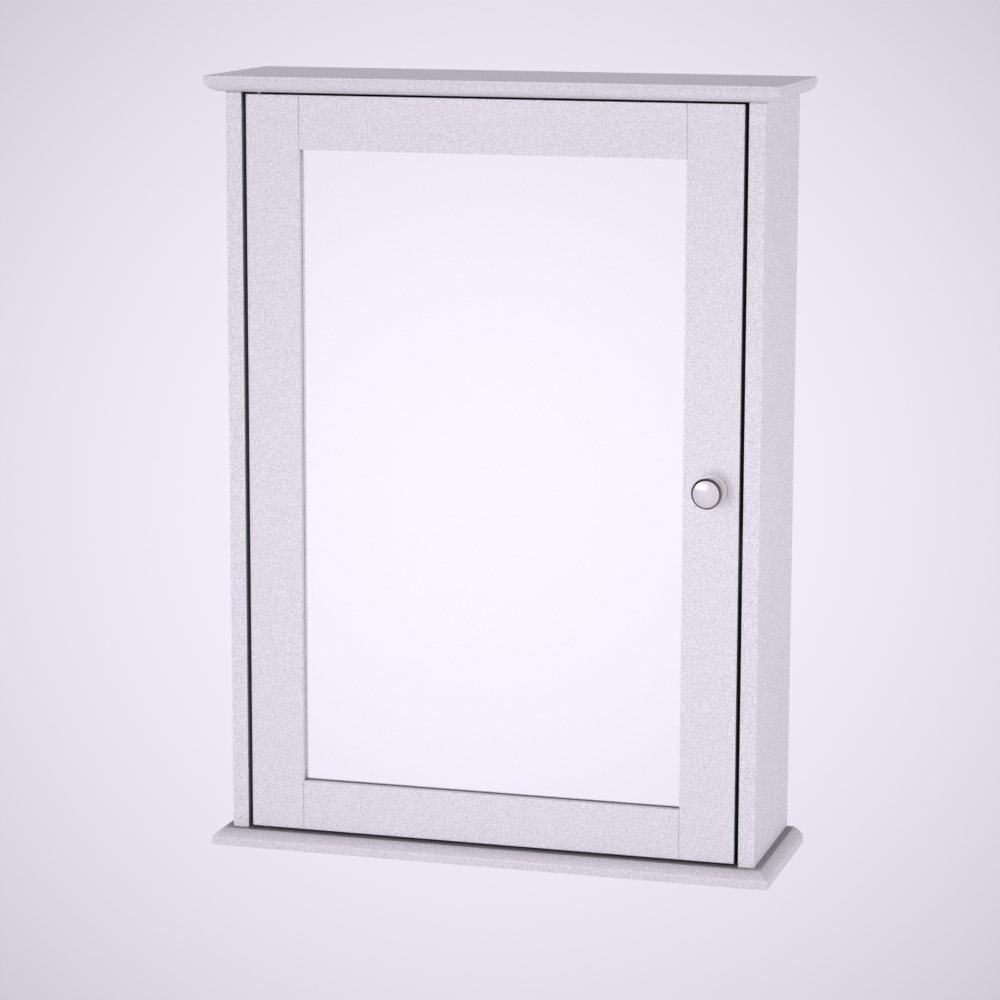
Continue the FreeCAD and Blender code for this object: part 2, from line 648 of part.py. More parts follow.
def make_mirror_back_board():
    x = RECESS_X - MIRROR_SIDE_GAP
    board = box(-x, x, BACK_BOARD_Y, DOOR_BACK, MIRROR_BASE, MIRROR_TOP)
    return board.makeChamfer(V_JOINT, edges_on(board, y=DOOR_BACK))


def clip_places():
    """Each clip's screw on the back of the frame, and the way the clip points."""
    places = []
    for side in SIDES:
        for z in spread(CLIPS_UP[0], CLIPS_UP[1], (RECESS_TOP + RECESS_BASE) / 2):
            places.append((V(side * (RECESS_X + CLIP_OUTSIDE), DOOR_BACK, z), X_AXIS * -side))
    for x in spread(CLIPS_ACROSS[0], CLIPS_ACROSS[1]):
        places.append((V(x, DOOR_BACK, RECESS_TOP + CLIP_OUTSIDE), -Z_AXIS))
        places.append((V(x, DOOR_BACK, RECESS_BASE - CLIP_OUTSIDE), Z_AXIS))
    return places


def make_mirror_clips():
    """Flat clips with round ends, turned across the edge of the back board."""
    clips = []
    end = CLIP_WIDTH / 2
    for screw, way in clip_places():
        far = screw + way * (CLIP_LENGTH - CLIP_WIDTH)
        across = way.cross(Y_AXIS) * end
        strip = chain(screw + across, far + across)
        strip += chain(screw - across, far - across)
        strip.append(Part.Arc(screw + across, screw - way * end, screw - across).toShape())
        strip.append(Part.Arc(far + across, far + way * end, far - across).toShape())
        plate = Part.Face(Part.Wire(Part.sortEdges(strip)[0])).extrude(Y_AXIS * CLIP_THICKNESS)
        clips.append(plate.cut(rod(CLIP_SCREW_RADIUS, CLIP_THICKNESS, screw, Y_AXIS)))
    return clips


def clip_screws():
    shank = (CLIP_SCREW_RADIUS, CLIP_SCREW_LENGTH + CLIP_THICKNESS)
    lift = Y_AXIS * CLIP_THICKNESS
    return [headed_screw(shank, CLIP_HEAD, screw + lift, -Y_AXIS) for screw, way in clip_places()]


# ---- Pivots --------------------------------------------------------------------------------

def pivot_ends():
    """The two ends of the hinge stile: height, and the way into the stile."""
    return [(DOOR_TOP, -1), (DOOR_BASE, 1)]


def bush_envelope(z, inward):
    length = PIVOT_IN_DOOR + PIVOT_END_CLEARANCE + BUSH_WALL
    return rod(BUSH_RADIUS, length, V(PIVOT_X, PIVOT_Y, z), Z_AXIS * inward)


def make_pivot_bush(z, inward):
    """A nylon cup, pressed flush into the end of the stile."""
    bore = rod(PIVOT_RADIUS + PIVOT_CLEARANCE, PIVOT_IN_DOOR + PIVOT_END_CLEARANCE,
               V(PIVOT_X, PIVOT_Y, z), Z_AXIS * inward)
    return bush_envelope(z, inward).cut(bore)


def make_pivot_pin(board_face, door_end, inward):
    """A steel pin with a domed end, pressed into the top or base board."""
    length = abs(board_face - door_end) + PIVOT_IN_DOOR
    rim = length - PIVOT_DOME
    sides = chain(at(0, length), at(0, -PIVOT_IN_BOARD), at(PIVOT_RADIUS, -PIVOT_IN_BOARD),
                  at(PIVOT_RADIUS, rim))
    outline = [dome(PIVOT_RADIUS, rim, length)] + sides
    return turned(outline, V(PIVOT_X, PIVOT_Y, board_face), Z_AXIS * inward)


# ---- Knob and strike plate -----------------------------------------------------------------

def knob_base():
    return V(KNOB_X, FRONT_Y, KNOB_Z)


def make_knob_rose():
    """A round rose against the door, with a rounded front edge and a hole for the screw."""
    radius, height, edge = ROSE
    hole = KNOB_SCREW_RADIUS + 0.25
    start = at(radius, height - edge)
    end = at(radius - edge, height)
    outline = chain(end, at(hole, height), at(hole, 0), at(radius, 0), start)
    outline.append(round_corner(start, at(radius, height), end))
    return turned(outline, knob_base(), -Y_AXIS)


def make_knob_head():
    """The turned knob: a foot on the rose, a waisted neck, a flared underside, a stepped rim
    and a domed face. A blind hole takes the screw."""
    foot = ROSE[1]
    hole = KNOB_SCREW_RADIUS
    depth = KNOB_SCREW_IN_KNOB + 0.5
    waist = at(*NECK_WAIST)
    under = at(HEAD_RADIUS - 0.6, HEAD_UNDER)
    flare = Part.BSplineCurve()
    flare.interpolate([at(NECK_FOOT_RADIUS, foot), waist, at(6.4, 11.8), under])
    side = Part.Arc(under, at(HEAD_RADIUS, (HEAD_UNDER + RIM_TOP) / 2), at(HEAD_RADIUS - 0.4, RIM_TOP))
    outline = [flare.toShape(), side.toShape(), dome(FACE_RADIUS, FACE_EDGE, FACE_TOP)]
    outline += chain(at(HEAD_RADIUS - 0.4, RIM_TOP), at(FACE_RADIUS + 0.1, RIM_TOP - 0.3),
                     at(FACE_RADIUS, FACE_EDGE))
    outline += chain(at(0, FACE_TOP), at(0, depth), at(hole, depth), at(hole, foot),
                     at(NECK_FOOT_RADIUS, foot))
    return turned(outline, knob_base(), -Y_AXIS)


def make_knob_screw():
    length = DOOR_THICKNESS + KNOB_SCREW_IN_KNOB
    return headed_screw((KNOB_SCREW_RADIUS, length), KNOB_SCREW_HEAD, V(KNOB_X, DOOR_BACK, KNOB_Z), -Y_AXIS)


def strike_screws():
    x = INNER_X - CATCH_BLOCK[0] / 2
    offset = STRIKE[2] / 2 - STRIKE_SCREW_FROM_END
    return [headed_screw(STRIKE_SCREW, STRIKE_HEAD, V(x, DOOR_BACK + STRIKE[1], CATCH_Z + s * offset), -Y_AXIS)
            for s in SIDES]


def make_strike_plate():
    """A steel plate on the back of the door, where the catch's pole plates touch it."""
    width, thickness, height = STRIKE
    x = INNER_X - CATCH_BLOCK[0] / 2
    plate = box(x - width / 2, x + width / 2, DOOR_BACK, DOOR_BACK + thickness,
                CATCH_Z - height / 2, CATCH_Z + height / 2)
    corners = [e for s in SIDES for z in SIDES
               for e in edges_on(plate, x=x + s * width / 2, z=CATCH_Z + z * height / 2)]
    return cut(plate.makeFillet(2.0, corners), strike_screws())


# ---- Every piece, in its own file ----------------------------------------------------------

def all_pieces():
    side_panel = make_side_panel()
    magnet, pole_plates = catch_inside()
    upper, lower = pivot_ends()
    shelf_lower, shelf_upper = SHELF_FLOORS
    return {
        "top_board": [make_top_board()],
        "base_board": [make_base_board()],
        "side_panel_left": [mirrored(side_panel)],
        "side_panel_right": [cut(side_panel, catch_screws(CATCH_SCREW))],
        "back_panel": [make_back_panel()],
        "back_panel_pins": panel_pins(),
        "hanging_rail": [make_hanging_rail()],
        "rail_dowels": make_rail_dowels(),
        "corner_dowels": make_corner_dowels(),
        "cam_bolts": make_cam_bolts(),
        "cam_locks": make_cam_locks(),
        "shelf_upper": [make_shelf(shelf_upper)],
        "shelf_lower": [make_shelf(shelf_lower)],
        "shelf_pins": make_shelf_pins(),
        "catch_housing": [make_catch_housing()],
        "catch_magnet": [magnet],
        "catch_pole_plates": pole_plates,
        "catch_screws": catch_screws(CATCH_SCREW),
        "pivot_pin_upper": [make_pivot_pin(TOP_UNDER, *upper)],
        "pivot_pin_lower": [make_pivot_pin(BASE_TOP, *lower)],
        "stile_hinge_side": [make_stile(-1)],
        "stile_knob_side": [make_stile(1)],
        "rail_top": [make_rail(OPENING_TOP, DOOR_TOP, OPENING_TOP)],
        "rail_bottom": [make_rail(DOOR_BASE, OPENING_BASE, OPENING_BASE)],
        "frame_dowels": make_frame_dowels(),
        "mirror_glass": [make_mirror_glass()],
        "mirror_setting_strip": [make_setting_strip()],
        "mirror_pad": [make_mirror_pad()],
        "mirror_back_board": [make_mirror_back_board()],
        "mirror_clips": make_mirror_clips(),
        "mirror_clip_screws": clip_screws(),
        "knob_rose": [make_knob_rose()],
        "knob_head": [make_knob_head()],
        "knob_screw": [make_knob_screw()],
        "pivot_bush_upper": [make_pivot_bush(*upper)],
        "pivot_bush_lower": [make_pivot_bush(*lower)],
        "strike_plate": [make_strike_plate()],
        "strike_screws": strike_screws(),
    }


os.makedirs("parts", exist_ok=True)
for node, solids in all_pieces().items():
    shape = solids[0] if len(solids) == 1 else Part.makeCompound(solids)
    shape.exportStep("parts/%s.step" % node)
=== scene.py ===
"""The look of a hanging wall cabinet with a mirrored door: finishes, a finely turned knob, and the
studio it hangs in. All lengths are in metres, in the cabinet's own frame."""

import math

import bmesh
import bpy
import numpy as np
from mathutils import Matrix, Vector


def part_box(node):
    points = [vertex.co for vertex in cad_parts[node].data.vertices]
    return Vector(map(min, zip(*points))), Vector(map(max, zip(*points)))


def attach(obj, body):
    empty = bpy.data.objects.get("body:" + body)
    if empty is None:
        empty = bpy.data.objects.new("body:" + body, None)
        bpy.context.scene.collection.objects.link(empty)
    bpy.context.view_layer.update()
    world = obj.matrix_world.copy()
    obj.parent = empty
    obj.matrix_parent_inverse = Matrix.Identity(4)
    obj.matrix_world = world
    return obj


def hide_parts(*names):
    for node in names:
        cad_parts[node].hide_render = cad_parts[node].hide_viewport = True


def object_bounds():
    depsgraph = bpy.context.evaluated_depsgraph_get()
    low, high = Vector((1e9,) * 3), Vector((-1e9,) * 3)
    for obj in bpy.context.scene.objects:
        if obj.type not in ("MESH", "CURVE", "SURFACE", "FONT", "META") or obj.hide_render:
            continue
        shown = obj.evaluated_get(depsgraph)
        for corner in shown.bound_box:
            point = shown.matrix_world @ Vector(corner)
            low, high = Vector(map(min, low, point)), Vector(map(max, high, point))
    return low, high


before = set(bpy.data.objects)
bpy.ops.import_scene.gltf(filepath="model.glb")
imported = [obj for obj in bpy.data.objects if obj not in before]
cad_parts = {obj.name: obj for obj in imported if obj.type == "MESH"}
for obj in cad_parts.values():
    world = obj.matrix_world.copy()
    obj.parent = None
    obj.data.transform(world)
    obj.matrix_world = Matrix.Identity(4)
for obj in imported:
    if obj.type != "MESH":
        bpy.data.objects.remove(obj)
CAD_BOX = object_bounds()

bl_info = {
    "name": "Mirrored wall cabinet",
    "version": (1, 0, 0),
    "blender": (4, 5, 0),
    "location": "3D View > Sidebar > Cabinet",
    "description": "Finishes and fine pieces of a hanging wall cabinet with a mirrored door",
    "category": "Object",
}

MM = 0.001
BASE_FALL = 6.3 * MM        # height of the sloping edge of the base board
# Settings of the painted shade in narrow gaps: how far it looks, and the open shares where it is darkest
# and gone.
PLAIN_GAP_SHADE = {"reach": 15 * MM, "nothing": 0.05, "full": 0.5}
SMOOTH_BELOW = math.radians(35)
GLASS_EDGE = (0.16, 0.32, 0.26, 1)
RIM_INSIDE = 9.65 * MM      # the painted dark reflection on the knob's rim begins this far from its axis
RIM_HEIGHT = 15.8 * MM      # and this far in front of the rose's back
PAINTED_DOOR = ("stile_hinge_side", "stile_knob_side", "rail_top", "rail_bottom")
DOWELS = ("rail_dowels", "corner_dowels", "frame_dowels")
SMALL_STEEL = ("cam_bolts", "back_panel_pins", "shelf_pins")
CATCH_STEEL = ("catch_screws", "catch_pole_plates", "strike_plate", "strike_screws")
MIRROR_STEEL = ("mirror_clips", "mirror_clip_screws")


class CabinetFinish(bpy.types.PropertyGroup):
    """Colours of the cabinet's finishes and the strength of their texture."""
    paint: bpy.props.FloatVectorProperty(
        name="Paint", description="Colour of the sprayed paint", subtype="COLOR", size=3,
        min=0, max=1, default=(0.86, 0.86, 0.86))
    speckle: bpy.props.FloatProperty(
        name="Paint speckle", description="Depth of the fine speckle in the paint",
        subtype="FACTOR", min=0, max=2, default=1.1)
    nickel: bpy.props.FloatVectorProperty(
        name="Nickel", description="Colour of the satin nickel", subtype="COLOR", size=3,
        min=0, max=1, default=(0.80, 0.785, 0.775))
    steel: bpy.props.FloatVectorProperty(
        name="Plated steel", description="Colour of the zinc-plated steel", subtype="COLOR", size=3,
        min=0, max=1, default=(0.66, 0.67, 0.68))
    silver: bpy.props.FloatVectorProperty(
        name="Silvering", description="Tint of the mirror", subtype="COLOR", size=3,
        min=0, max=1, default=(0.95, 0.955, 0.955))
    # The setting strip is coloured dark as painted shade: it stands for the line of shade along the
    # mirror's foot.
    strip: bpy.props.FloatVectorProperty(
        name="Setting strip", description="Colour of the strip under the mirror", subtype="COLOR", size=3,
        min=0, max=1, default=(0.12, 0.11, 0.12))
    hardboard: bpy.props.FloatVectorProperty(
        name="Hardboard", description="Colour of the bare hardboard", subtype="COLOR", size=3,
        min=0, max=1, default=(0.30, 0.18, 0.10))
    beech: bpy.props.FloatVectorProperty(
        name="Beech", description="Colour of the dowels", subtype="COLOR", size=3,
        min=0, max=1, default=(0.62, 0.42, 0.26))


class CabinetKnob(bpy.types.PropertyGroup):
    """Sizes of the turned knob that can change inside its own outline."""
    groove: bpy.props.FloatProperty(
        name="Groove", description="Depth of the groove between the rim and the domed face",
        subtype="DISTANCE", unit="LENGTH", min=0.0001, max=0.001, default=0.0007)
    steps: bpy.props.IntProperty(
        name="Steps round", description="Facets round the turned pieces", min=24, max=256, default=128)


class CabinetStudio(bpy.types.PropertyGroup):
    """Light and camera."""
    tint: bpy.props.FloatVectorProperty(
        name="Light tint", description="Colour of all the studio light", subtype="COLOR", size=3,
        min=0, max=2, default=(1.0, 0.94, 1.072))
    key: bpy.props.FloatProperty(
        name="Key", description="Power of the soft box at the upper left", subtype="POWER", unit="POWER",
        min=0, max=500, default=7.0)
    front: bpy.props.FloatProperty(
        name="Front", description="Power of the soft box in front", subtype="POWER", unit="POWER",
        min=0, max=500, default=3.6)
    side: bpy.props.FloatProperty(
        name="Side", description="Power of the soft box at the right", subtype="POWER", unit="POWER",
        min=0, max=500, default=2.95)
    top: bpy.props.FloatProperty(
        name="Top", description="Power of the soft box overhead", subtype="POWER", unit="POWER",
        min=0, max=500, default=1.7)
    surround: bpy.props.FloatProperty(
        name="Surround", description="Even light from all round", min=0, max=4, default=0.40)
    focal: bpy.props.FloatProperty(
        name="Focal length", description="Focal length of the camera", subtype="DISTANCE_CAMERA",
        min=20, max=300, default=125.0)
    yaw: bpy.props.FloatProperty(
        name="Yaw", description="Turn of the camera to its left", subtype="ANGLE", unit="ROTATION",
        default=math.radians(16.104))
    pitch: bpy.props.FloatProperty(
        name="Pitch", description="Downward tilt of the camera", subtype="ANGLE", unit="ROTATION",
        default=math.radians(10.160))
    roll: bpy.props.FloatProperty(
        name="Roll", description="Roll of the camera", subtype="ANGLE", unit="ROTATION",
        default=math.radians(0.159))
    place: bpy.props.FloatVectorProperty(
        name="Camera place", description="Where the camera stands", subtype="TRANSLATION", unit="LENGTH",
        size=3, default=(0.6951, -2.4988, 0.1832))


# Shader groups and finishes.

def add_node(tree, kind, values=None, **settings):
    """Adds one node with its settings, and with values on its own sockets."""
    made = tree.nodes.new(kind)
    for name, value in settings.items():
        setattr(made, name, value)
    for socket, value in (values or {}).items():
        made.inputs[socket].default_value = value
    return made


def join(tree, *pairs):
    """Links each output socket to the input socket it is paired with."""
    for out, into in pairs:
        tree.links.new(out, into)


def feed(tree, term, socket):
    """Gives an input socket its term, which is a number or another node's output socket."""
    if isinstance(term, (int, float)):
        socket.default_value = term
    else:
        tree.links.new(term, socket)


def math_node(tree, operation, *terms):
    """One sum of a Math node, from numbers and output sockets. Returns the result's socket."""
    made = tree.nodes.new("ShaderNodeMath")
    made.operation = operation
    for place, term in enumerate(terms):
        feed(tree, term, made.inputs[place])
    return made.outputs[0]


def axes_of(tree, vector):
    """The sockets X, Y and Z of a vector's socket."""
    apart = add_node(tree, "ShaderNodeSeparateXYZ")
    tree.links.new(vector, apart.inputs[0])
    return apart.outputs


def new_group(name, inputs, outputs):
    """A shader group with named sockets. Returns the tree, its inputs' sockets and its output node."""
    tree = bpy.data.node_groups.new(name, "ShaderNodeTree")
    for label, kind, value in inputs:
        socket = tree.interface.new_socket(label, in_out="INPUT", socket_type="NodeSocket" + kind)
        if value is not None:
            socket.default_value = value
    for label, kind in outputs:
        tree.interface.new_socket(label, in_out="OUTPUT", socket_type="NodeSocket" + kind)
    return tree, tree.nodes.new("NodeGroupInput").outputs, tree.nodes.new("NodeGroupOutput").inputs


def noise(tree, position, scale, detail=2.0, roughness=0.5):
    """Noise of that many waves to the metre, from 0 to 1. Returns its socket."""
    made = add_node(tree, "ShaderNodeTexNoise", {"Detail": detail, "Roughness": roughness})
    feed(tree, position, made.inputs["Vector"])
    feed(tree, scale, made.inputs["Scale"])
    return made.outputs["Fac"]


def shade(tree, colour, factor):
    """The colour times one plus the factor. Returns the new colour's socket."""
    made = add_node(tree, "ShaderNodeVectorMath", operation="SCALE")
    join(tree, (colour, made.inputs[0]), (math_node(tree, "ADD", 1.0, factor), made.inputs["Scale"]))
    return made.outputs[0]


def signed(tree, value, amount):
    """A value from 0 to 1 turned to one about 0: (value - 0.5) times the amount."""
    return math_node(tree, "MULTIPLY", math_node(tree, "SUBTRACT", value, 0.5), amount)


def sprayed_paint_group():
    """Sprayed paint: mottling of 7 waves to the metre, orange peel of 260 and a fine speckle. Colour =
    colour x (1 + mottle x slow noise + speckle x fine noise), with each noise from -0.5 to 0.5. The
    noise lies askew to the boards, so no face falls on one of its flat planes, and is drawn out twofold
    from front to back."""
    tree, put, out = new_group(
        "Sprayed paint",
        [("Position", "Vector", None), ("Colour", "Color", (1, 1, 1, 1)), ("Mottle", "Float", 0.03),
         ("Speckle", "Float", 0.3), ("Grains to the metre", "Float", 1150.0), ("Gloss", "Float", 0.4)],
        [("Colour", "Color"), ("Roughness", "Float"), ("Height", "Float")])
    askew = add_node(tree, "ShaderNodeMapping", {
        "Rotation": (0.5, 0.8, 0.3), "Location": (0.011, 0.017, 0.023), "Scale": (1.0, 0.5, 1.0)})
    tree.links.new(put["Position"], askew.inputs["Vector"])
    broad = noise(tree, askew.outputs[0], 7.0, 3.0)
    peel = noise(tree, askew.outputs[0], 260.0, 1.0)
    fine = noise(tree, askew.outputs[0], put["Grains to the metre"], 2.0, 0.7)
    wide = signed(tree, broad, put["Mottle"])
    grain = signed(tree, fine, put["Speckle"])
    colour = shade(tree, put["Colour"], math_node(tree, "ADD", wide, grain))
    rough = math_node(tree, "ADD", put["Gloss"], signed(tree, peel, 0.12))
    height = math_node(tree, "ADD", peel, math_node(tree, "MULTIPLY", fine, 0.35))
    join(tree, (colour, out["Colour"]), (rough, out["Roughness"]), (height, out["Height"]))
    return tree


def worked_metal_group():
    """Metal with fine handling marks: short streaks drawn out along Z, and cloudy patches of 180 waves
    to the metre that differ in gloss. Colour = colour x (1 + streaks x streak + 0.08 x cloud), and
    roughness = gloss + streaks x streak + 0.1 x cloud, with streak and cloud from -0.5 to 0.5."""
    tree, put, out = new_group(
        "Worked metal",
        [("Position", "Vector", None), ("Colour", "Color", (1, 1, 1, 1)), ("Gloss", "Float", 0.3),
         ("Streaks", "Float", 0.1), ("Streaks to the metre", "Float", 2500.0)],
        [("Colour", "Color"), ("Roughness", "Float"), ("Height", "Float")])
    cloud = noise(tree, put["Position"], 180.0, 3.0)
    stretch = add_node(tree, "ShaderNodeVectorMath", {1: (1.0, 1.0, 0.06)}, operation="MULTIPLY")
    join(tree, (put["Position"], stretch.inputs[0]))
    streak = noise(tree, stretch.outputs[0], put["Streaks to the metre"], 1.0)
    marks = signed(tree, streak, put["Streaks"])
    colour = shade(tree, put["Colour"], math_node(tree, "ADD", marks, signed(tree, cloud, 0.08)))
    rough = math_node(tree, "ADD", put["Gloss"], math_node(tree, "ADD", signed(tree, cloud, 0.1), marks))
    join(tree, (colour, out["Colour"]), (rough, out["Roughness"]), (streak, out["Height"]))
    return tree


def fibre_group():
    """Wood or board fibre: noise drawn out along one direction, over bands of tone of 90 waves to the
    metre. Colour = colour x (1 + contrast x fibre + 0.3 x band), and roughness = 0.7 + 0.3 x fibre, with
    fibre and band from -0.5 to 0.5."""
    tree, put, out = new_group(
        "Fibre",
        [("Position", "Vector", None), ("Colour", "Color", (1, 1, 1, 1)),
         ("Draw", "Vector", (1.0, 1.0, 0.1)), ("Fibres to the metre", "Float", 1200.0),
         ("Contrast", "Float", 0.6)],
        [("Colour", "Color"), ("Roughness", "Float"), ("Height", "Float")])
    drawn = add_node(tree, "ShaderNodeVectorMath", operation="MULTIPLY")
    join(tree, (put["Position"], drawn.inputs[0]), (put["Draw"], drawn.inputs[1]))
    fine = noise(tree, drawn.outputs[0], put["Fibres to the metre"], 3.0, 0.6)
    bands = noise(tree, drawn.outputs[0], 90.0, 2.0)
    tone = math_node(tree, "ADD", signed(tree, fine, put["Contrast"]), signed(tree, bands, 0.3))
    join(tree, (shade(tree, put["Colour"], tone), out["Colour"]),
         (math_node(tree, "ADD", 0.7, signed(tree, fine, 0.3)), out["Roughness"]),
         (fine, out["Height"]))
    return tree


def gap_shade_group():
    """Painted shade in gaps and corners, worked out from ambient occlusion. With a the share of the
    directions over a point that are open within the reach, colour = colour x (a - nothing) / (full -
    nothing), held between colour x least and the colour itself."""
    tree, put, out = new_group(
        "Painted gap shade",
        [("Colour", "Color", (1, 1, 1, 1)), ("Reach", "Float", 15 * MM), ("Nothing", "Float", 0.0),
         ("Full", "Float", 1.0), ("Least", "Float", 0.05)],
        [("Colour", "Color")])
    # painted shade: the colour darkens where ambient occlusion finds the point closed in
    open_share = add_node(tree, "ShaderNodeAmbientOcclusion", samples=12)
    unshaded_share = add_node(tree, "ShaderNodeMapRange", {"To Max": 1.0})
    painted_shade = math_node(tree, "SUBTRACT", unshaded_share.outputs["Result"], 1.0)
    join(tree, (put["Reach"], open_share.inputs["Distance"]),
         (open_share.outputs["AO"], unshaded_share.inputs["Value"]),
         (put["Nothing"], unshaded_share.inputs["From Min"]), (put["Full"], unshaded_share.inputs["From Max"]),
         (put["Least"], unshaded_share.inputs["To Min"]), (shade(tree, put["Colour"], painted_shade), out["Colour"]))
    return tree


def painted_line_group():
    """A painted line of shade or highlight round a piece at one height: factor = amount where
    abs(height - level) is within the half width, and 0 elsewhere."""
    tree, put, out = new_group(
        "Painted light and shade line",
        [("Height", "Float", 0.0), ("Level", "Float", 0.0), ("Half width", "Float", 0.5 * MM),
         ("Amount", "Float", -0.1)],
        [("Factor", "Float")])
    near = math_node(tree, "COMPARE", put["Height"], put["Level"], put["Half width"])
    tree.links.new(math_node(tree, "MULTIPLY", near, put["Amount"]), out["Factor"])
    return tree


def get_group(name):
    """The named shader group, built the first time it is wanted."""
    builders = {"Sprayed paint": sprayed_paint_group, "Worked metal": worked_metal_group,
                "Fibre": fibre_group, "Painted gap shade": gap_shade_group, "Painted light and shade line": painted_line_group}
    return bpy.data.node_groups.get(name) or builders[name]()


def start_finish(name, **sockets):
    """A material whose Principled shader has those values on its sockets. Returns material, tree
    and shader."""
    made = bpy.data.materials.new(name)
    made.use_nodes = True
    shader = made.node_tree.nodes["Principled BSDF"]
    for label, value in sockets.items():
        shader.inputs[label.replace("_", " ")].default_value = value
    return made, made.node_tree, shader


def object_position(tree):
    """The socket of the piece's own coordinates."""
    return add_node(tree, "ShaderNodeTexCoord").outputs["Object"]


def grouped_finish(name, group, values, bump, relief, **sockets):
    """A finish whose colour, roughness and bump come from one shader group. The bump is a strength from
    0 to 1, and the relief is how high it stands."""
    made = bpy.data.materials.get(name)
    if made:
        return made
    made, tree, shader = start_finish(name, **sockets)
    effect = add_node(tree, "ShaderNodeGroup", node_tree=get_group(group))
    for label, value in values.items():
        effect.inputs[label].default_value = value
    relief_node = add_node(tree, "ShaderNodeBump", {"Strength": bump, "Distance": relief})
    join(tree, (object_position(tree), effect.inputs["Position"]),
         (effect.outputs["Colour"], shader.inputs["Base Color"]),
         (effect.outputs["Roughness"], shader.inputs["Roughness"]),
         (effect.outputs["Height"], relief_node.inputs["Height"]),
         (relief_node.outputs[0], shader.inputs["Normal"]))
    return made


def paint(name, reach, nothing, full, least=0.05, coarse=1.0):
    """White sprayed paint, with painted shade in gaps and corners. Its speckle is multiplied by how
    coarse the spray was."""
    if name in bpy.data.materials:
        return bpy.data.materials[name]
    look = bpy.context.scene.cabinet_finish
    made = grouped_finish(name, "Sprayed paint",
                          {"Colour": (*look.paint, 1), "Speckle": look.speckle * coarse},
                          bump=0.25, relief=0.1 * MM, Specular_IOR_Level=0.25)
    tree = made.node_tree
    # painted shade in gaps and corners, darkening the paint's colour
    colour_layer = add_node(tree, "ShaderNodeGroup",
                    {"Reach": reach, "Nothing": nothing, "Full": full, "Least": least},
                    node_tree=get_group("Painted gap shade"))
    base = tree.nodes["Principled BSDF"].inputs["Base Color"]
    join(tree, (base.links[0].from_socket, colour_layer.inputs["Colour"]), (colour_layer.outputs["Colour"], base))
    return made


def dim_by_place(made, amount_at):
    """Multiplies a finish's colour by one plus an amount worked out from the piece's own x, y and z."""
    tree = made.node_tree
    base = tree.nodes["Principled BSDF"].inputs["Base Color"]
    amount = amount_at(tree, axes_of(tree, object_position(tree)))
    tree.links.new(shade(tree, base.links[0].from_socket, amount), base)


def height_ramp(tree, height, low, high, at_low, at_high):
    """A value that runs evenly from one height to another, and stays level outside them."""
    ramp = add_node(tree, "ShaderNodeMapRange", {"From Min": low, "From Max": high,
                                                 "To Min": at_low, "To Max": at_high})
    tree.links.new(height, ramp.inputs["Value"])
    return ramp.outputs["Result"]


def level_line(tree, height, level, half_width, amount):
    """A line of painted shade (negative amount) or painted highlight (positive amount) round a piece at
    that level. Returns its factor's socket.
    """
    line = add_node(tree, "ShaderNodeGroup",
                    {"Level": level, "Half width": half_width, "Amount": amount},
                    node_tree=get_group("Painted light and shade line"))
    tree.links.new(height, line.inputs["Height"])
    return line.outputs["Factor"]


def cornice_paint():
    """Paint of the top board, with painted shade along its inner corner, painted shade darkening it by a
    tenth from the top of the moulded edge to its foot, and a painted highlight line under the top arris."""
    made = paint("White paint on the cornice", reach=35 * MM, nothing=-0.1, full=1.04)
    foot, top = (corner.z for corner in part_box("top_board"))
    # painted shade, darker towards the foot, and a painted highlight line just under the top arris
    dim_by_place(made, lambda tree, axes: math_node(
        tree, "ADD", height_ramp(tree, axes["Z"], foot, top, -0.1, 0.0),
        level_line(tree, axes["Z"], top - 0.8 * MM, 0.5 * MM, 0.06)))
    return made


def base_paint():
    """Paint of the base board, with painted shade where the door shields it. With s from 0 at the foot of
    the sloping edge to 1 at its top, painted shade gives colour = paint x (1 - 0.07 - 0.2 s); a painted
    highlight lines the foot."""
    made = paint("White paint on the base board", reach=13 * MM, nothing=0.72, full=1.03, least=0.35)
    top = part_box("base_board")[1].z
    crease = top - BASE_FALL

    # painted shade on the sloping edge, darker towards its top, and a painted highlight line along its
    # foot
    def amount(tree, axes):
        slope = math_node(tree, "MULTIPLY", height_ramp(tree, axes["Z"], crease, top, -0.07, -0.27),
                          math_node(tree, "GREATER_THAN", axes["Z"], crease + 0.5 * MM))
        return math_node(tree, "ADD", slope, level_line(tree, axes["Z"], crease, 0.5 * MM, 0.05))

    dim_by_place(made, amount)
    return made


def side_paint():
    """Paint of the side panels, with painted contact shadow lines where they meet the top and base boards.
    """
    made = paint("White paint on the side panels", **PLAIN_GAP_SHADE, coarse=1.4)
    foot, top = (corner.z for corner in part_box("side_panel_right"))
    # painted contact shadow lines at the foot and at the top of the panels
    dim_by_place(made, lambda tree, axes: math_node(
        tree, "ADD", level_line(tree, axes["Z"], foot, 0.6 * MM, -0.25),
        level_line(tree, axes["Z"], top, 0.8 * MM, -0.4)))
    return made


def board_paint():
    """Paint of the plain boards, with painted shade only in the narrow gaps."""
    return paint("White paint on boards", **PLAIN_GAP_SHADE)


